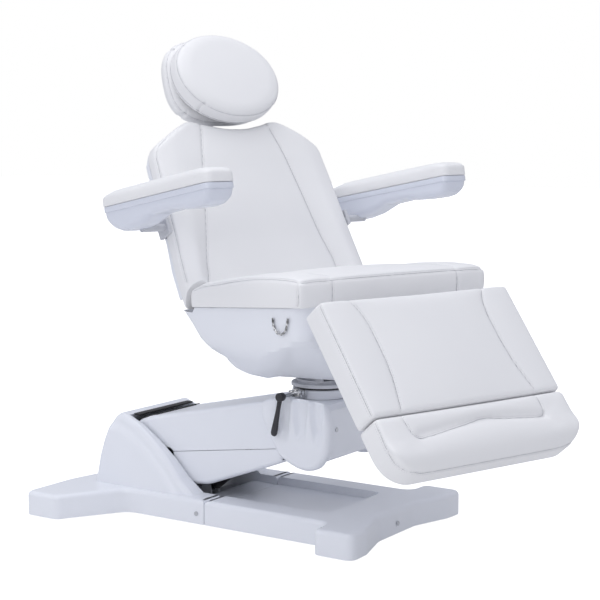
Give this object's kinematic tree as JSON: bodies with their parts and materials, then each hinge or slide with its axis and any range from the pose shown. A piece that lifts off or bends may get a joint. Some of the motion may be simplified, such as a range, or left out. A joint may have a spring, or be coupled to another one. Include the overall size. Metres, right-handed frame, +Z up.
{
  "type": "facial treatment bed",
  "caption": "Upholstered treatment bed with reclining back, tilting seat, folding armrests, adjustable headrest and leg rest, on a swivelling lift arm and covered base.",
  "frame": {"origin": "swivel axis at floor level", "axes": "+Z up, base faces -Y, +X to the left of a sitter facing -Y; the top is swivelled 18.36 degrees clockwise seen from above at rest"},
  "size_m": [0.9924, 1.3779, 1.2774],
  "materials": {
    "upholstery": "soft white leatherette, low sheen",
    "cover_plastic": "satin, pale cool grey white",
    "board_white": "smooth",
    "frame_steel": "light grey powder coat",
    "turntable_metal": "satin",
    "bright_steel": "ground",
    "chrome": "polished",
    "black_plastic": "fine grain",
    "black_rubber": "matt"
  },
  "bodies": {
    "base": {"base_frame": "frame_steel", "base_front_cover": "cover_plastic", "base_rear_cover": "cover_plastic", "leveling_feet": "black_rubber", "cover_screws": "bright_steel", "control_box": "black_plastic", "arm_rear_shafts": "bright_steel"},
    "lift_arm": {"lift_arm_frame": "frame_steel", "arm_upper_cover": "cover_plastic", "arm_lower_cover": "cover_plastic", "slot_boot": "black_rubber"},
    "levelling_link": {"levelling_link": "frame_steel"},
    "head": {"head_frame": "frame_steel", "head_cover_left": "cover_plastic", "head_cover_right": "cover_plastic", "head_front_cover": "cover_plastic", "head_screw": "bright_steel", "swivel_collar": "cover_plastic", "swivel_bearing": "black_plastic", "clamp_block": "chrome", "lock_stud": "bright_steel", "arm_front_shafts": "bright_steel"},
    "lock_lever": {"lock_lever": "black_plastic"},
    "turntable": {"turntable_plate": "turntable_metal", "tilt_bracket": "frame_steel", "swivel_spindle": "bright_steel", "tilt_axle": "bright_steel"},
    "seat": {"seat_frame": "frame_steel", "seat_shell": "cover_plastic", "seat_cushion": "upholstery", "seat_hooks": "chrome", "seat_hinge_rods": "bright_steel", "tilt_motor": "black_plastic"},
    "tilt_rod": {"tilt_rod": "bright_steel"},
    "backrest": {"back_frame": "frame_steel", "back_shell": "cover_plastic", "back_cushion": "upholstery", "arm_brackets": "frame_steel"},
    "armrest_left": {"armrest_left_shell": "cover_plastic", "armrest_left_pad": "upholstery"},
    "armrest_right": {"armrest_right_shell": "cover_plastic", "armrest_right_pad": "upholstery"},
    "headrest_stem": {"headrest_stem": "frame_steel"},
    "headrest": {"headrest_plate": "cover_plastic", "headrest_back_cushion": "upholstery", "headrest_pillow": "upholstery"},
    "leg_rest": {"leg_frame": "frame_steel", "leg_board": "board_white", "leg_cushion": "upholstery"},
    "footrest": {"foot_rails": "frame_steel", "foot_board": "board_white", "foot_cushion": "upholstery"},
    "lift_motor": {"lift_motor": "black_plastic"},
    "lift_rod": {"lift_rod": "bright_steel"},
    "back_motor": {"back_motor": "black_plastic"},
    "back_rod": {"back_rod": "bright_steel"},
    "leg_motor": {"leg_motor": "black_plastic"},
    "leg_rod": {"leg_rod": "bright_steel"}
  },
  "joints": [
    {"name": "lift", "type": "hinge", "parent": "base", "child": "lift_arm", "pos_m": [0, 0.47, 0.17], "axis": [-1, 0, 0], "range_deg": [-10, 38]},
    {"name": "link_swing", "type": "hinge", "parent": "base", "child": "levelling_link", "pos_m": [0, 0.47, 0.215], "axis": [-1, 0, 0], "range_deg": [-10.5, 38.5]},
    {"name": "head_levelling", "type": "hinge", "parent": "lift_arm", "child": "head", "pos_m": [0, 0.02, 0.25], "axis": [-1, 0, 0], "range_deg": [-38.5, 10.5]},
    {"name": "swivel_lock", "type": "hinge", "parent": "head", "child": "lock_lever", "pos_m": [-0.165, 0.014, 0.353], "axis": [-1, 0, 0], "range_deg": [-45, 60]},
    {"name": "swivel", "type": "hinge", "parent": "head", "child": "turntable", "pos_m": [0, 0, 0.37], "axis": [0, 0, 1], "range_deg": [-101.64, 138.36]},
    {"name": "seat_tilt", "type": "hinge", "parent": "turntable", "child": "seat", "pos_m": [0.0063, 0.01898, 0.44], "axis": [-0.9491, 0.315, 0], "range_deg": [-4.9, 10]},
    {"name": "back_recline", "type": "hinge", "parent": "seat", "child": "backrest", "pos_m": [0.06993, 0.2107, 0.556], "axis": [-0.9491, 0.315, 0], "range_deg": [-3, 66]},
    {"name": "armrest_left_fold", "type": "hinge", "parent": "backrest", "child": "armrest_left", "pos_m": [0.44381, 0.13719, 0.766], "axis": [-0.9491, 0.315, 0], "range_deg": [-66, 50]},
    {"name": "armrest_right_fold", "type": "hinge", "parent": "backrest", "child": "armrest_right", "pos_m": [-0.27371, 0.37532, 0.766], "axis": [-0.9491, 0.315, 0], "range_deg": [-66, 50]},
    {"name": "headrest_height", "type": "slide", "parent": "backrest", "child": "headrest_stem", "axis": [0.1503, 0.4529, 0.8788], "range_m": [0, 0.07]},
    {"name": "headrest_tilt", "type": "hinge", "parent": "headrest_stem", "child": "headrest", "pos_m": [0.17261, 0.52011, 1.11], "axis": [-0.9491, 0.315, 0], "range_deg": [-2, 25]},
    {"name": "leg_raise", "type": "hinge", "parent": "seat", "child": "leg_rest", "pos_m": [-0.09135, -0.27524, 0.592], "axis": [-0.9491, 0.315, 0], "range_deg": [-8, 56]},
    {"name": "foot_extend", "type": "slide", "parent": "leg_rest", "child": "footrest", "axis": [-0.1974, -0.5947, -0.7793], "range_m": [0, 0.15]},
    {"name": "tilt_rod_slide", "type": "slide", "parent": "seat", "child": "tilt_rod", "axis": [0.2574, 0.7755, -0.5765], "range_m": [-0.006, 0.0115]},
    {"name": "lift_motor_swing", "type": "hinge", "parent": "base", "child": "lift_motor", "pos_m": [0, 0.36, 0.045], "axis": [-1, 0, 0], "range_deg": [-9.5, 35.5]},
    {"name": "lift_rod_slide", "type": "slide", "parent": "lift_motor", "child": "lift_rod", "axis": [0, -0.7793, 0.6266], "range_m": [-0.029, 0.108]},
    {"name": "back_motor_swing", "type": "hinge", "parent": "seat", "child": "back_motor", "pos_m": [0.06182, -0.11534, 0.505], "axis": [0.9491, -0.315, 0], "range_deg": [-0.6, 10.8]},
    {"name": "back_rod_slide", "type": "slide", "parent": "back_motor", "child": "back_rod", "axis": [0.315, 0.9491, 0.0035], "range_m": [-0.03, 0.0015]},
    {"name": "leg_motor_swing", "type": "hinge", "parent": "seat", "child": "leg_motor", "pos_m": [-0.09646, 0.01094, 0.52], "axis": [-0.9491, 0.315, 0], "range_deg": [-0.5, 2.9]},
    {"name": "leg_rod_slide", "type": "slide", "parent": "leg_motor", "child": "leg_rod", "axis": [-0.3147, -0.9481, 0.0454], "range_m": [-0.008, 0.0555]}
  ],
  "couplings": [
    {"joint": "link_swing", "follows": "lift", "ratio": 1},
    {"joint": "head_levelling", "follows": "lift", "ratio": -1},
    {"joint": "tilt_rod_slide", "follows": "seat_tilt", "m_per_rad": 0.06303},
    {"joint": "lift_motor_swing", "follows": "lift", "ratio": 0.92},
    {"joint": "lift_rod_slide", "follows": "lift", "m_per_rad": 0.16043},
    {"joint": "back_motor_swing", "follows": "back_recline", "ratio": 0.16},
    {"joint": "back_rod_slide", "follows": "back_recline", "m_per_rad": -0.0255},
    {"joint": "leg_motor_swing", "follows": "leg_raise", "ratio": 0.05},
    {"joint": "leg_rod_slide", "follows": "leg_raise", "m_per_rad": 0.05615}
  ]
}
